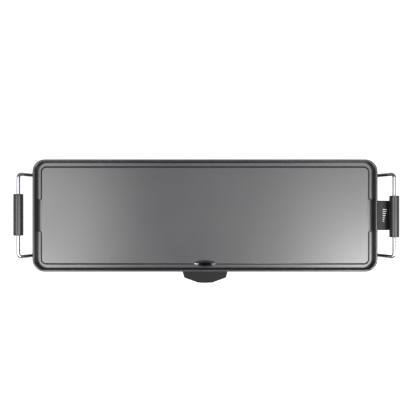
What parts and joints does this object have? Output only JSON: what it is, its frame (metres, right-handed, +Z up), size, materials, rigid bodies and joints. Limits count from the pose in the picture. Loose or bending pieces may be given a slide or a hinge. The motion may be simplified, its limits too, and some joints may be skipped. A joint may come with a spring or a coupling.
{
  "type": "electric griddle",
  "caption": "Long table-top electric griddle: cast plate with grease channel and drain, slide-out drip tray, wire handles and a plug-in thermostat control.",
  "frame": {"origin": "on the table, under the middle of the whole griddle's bounding box", "axes": "+X along the length towards the thermostat control, +Y to the rear, away from the drip tray, +Z up"},
  "size_m": [0.7944, 0.2564, 0.0841],
  "materials": {
    "nonstick_plate": "die-cast aluminium with a baked non-stick coating, satin",
    "element_steel": "heat-darkened steel sheath",
    "ceramic": "unglazed white ceramic",
    "pin_steel": "nickel-plated",
    "zinc_steel": "zinc-plated sheet and screws",
    "pan_steel": "aluminised sheet, dull",
    "phenolic": "moulded phenolic, fine grain",
    "rubber": "silicone rubber",
    "chrome": "bright chrome plate on steel rod",
    "tray_plastic": "moulded polypropylene, satin",
    "control_plastic": "moulded glass-filled nylon, semi-gloss",
    "lens_red": "clear red polycarbonate",
    "lamp_glass": "neon lamp glass",
    "brass": "turned brass",
    "silver_contact": "silver alloy"
  },
  "bodies": {
    "griddle": {"cooking_plate": "nonstick_plate", "heating_element": "element_steel", "element_end_seals": "ceramic", "terminal_pins": "pin_steel", "element_clips": "zinc_steel", "element_clip_screws": "zinc_steel", "terminal_guard": "zinc_steel", "guard_screws": "zinc_steel", "base_pan": "pan_steel", "pan_screws": "zinc_steel", "leg_screws": "zinc_steel", "left_handle_rod": "chrome", "right_handle_rod": "chrome", "left_handle_grip": "phenolic", "right_handle_grip": "phenolic", "left_tray_rail": "zinc_steel", "right_tray_rail": "zinc_steel", "tray_rail_screws": "zinc_steel", "front_left_leg": "phenolic", "front_left_foot_pad": "rubber", "front_right_leg": "phenolic", "front_right_foot_pad": "rubber", "rear_left_leg": "phenolic", "rear_left_foot_pad": "rubber", "rear_right_leg": "phenolic", "rear_right_foot_pad": "rubber"},
    "drip_tray": {"drip_tray": "tray_plastic"},
    "control": {"control_cover": "control_plastic", "control_base": "control_plastic", "control_screws": "zinc_steel", "shaft_bush": "brass", "cord_gland": "rubber", "indicator_lens": "lens_red", "indicator_lamp": "lamp_glass", "sensor_probe": "pin_steel", "expansion_rod": "pin_steel", "contact_sockets": "brass", "contact_block": "ceramic", "switch_chassis": "zinc_steel", "pin_guide": "ceramic", "arm_pivot": "pin_steel", "fixed_contact": "brass", "contact_insulator": "ceramic", "cord_terminals": "brass", "cord_terminal_screws": "zinc_steel"},
    "dial": {"dial_knob": "control_plastic", "dial_shaft": "pin_steel", "dial_cam": "phenolic"},
    "follower": {"follower_pin": "ceramic"},
    "switch_arm": {"contact_arm": "brass", "moving_contact": "silver_contact"}
  },
  "joints": [
    {"name": "tray_slide", "type": "slide", "parent": "griddle", "child": "drip_tray", "axis": [0, -1, 0], "range_m": [0, 0.14]},
    {"name": "control_pull", "type": "slide", "parent": "griddle", "child": "control", "axis": [1, 0, 0], "range_m": [0, 0.15]},
    {"name": "dial_turn", "type": "hinge", "parent": "control", "child": "dial", "pos_m": [0.38685, 0.0142, 0.048], "axis": [1, 0, 0], "range_deg": [0, 270]},
    {"name": "follower_push", "type": "slide", "parent": "control", "child": "follower", "axis": [-1, 0, 0], "range_m": [0, 0.002]},
    {"name": "arm_swing", "type": "hinge", "parent": "control", "child": "switch_arm", "pos_m": [0.36045, -0.0008, 0.048], "axis": [0, 0, 1], "range_deg": [0, 5.5]}
  ],
  "couplings": [
    {"joint": "follower_push", "follows": "dial_turn", "m_per_rad": 0.000424},
    {"joint": "arm_swing", "follows": "dial_turn", "ratio": 0.0202}
  ]
}
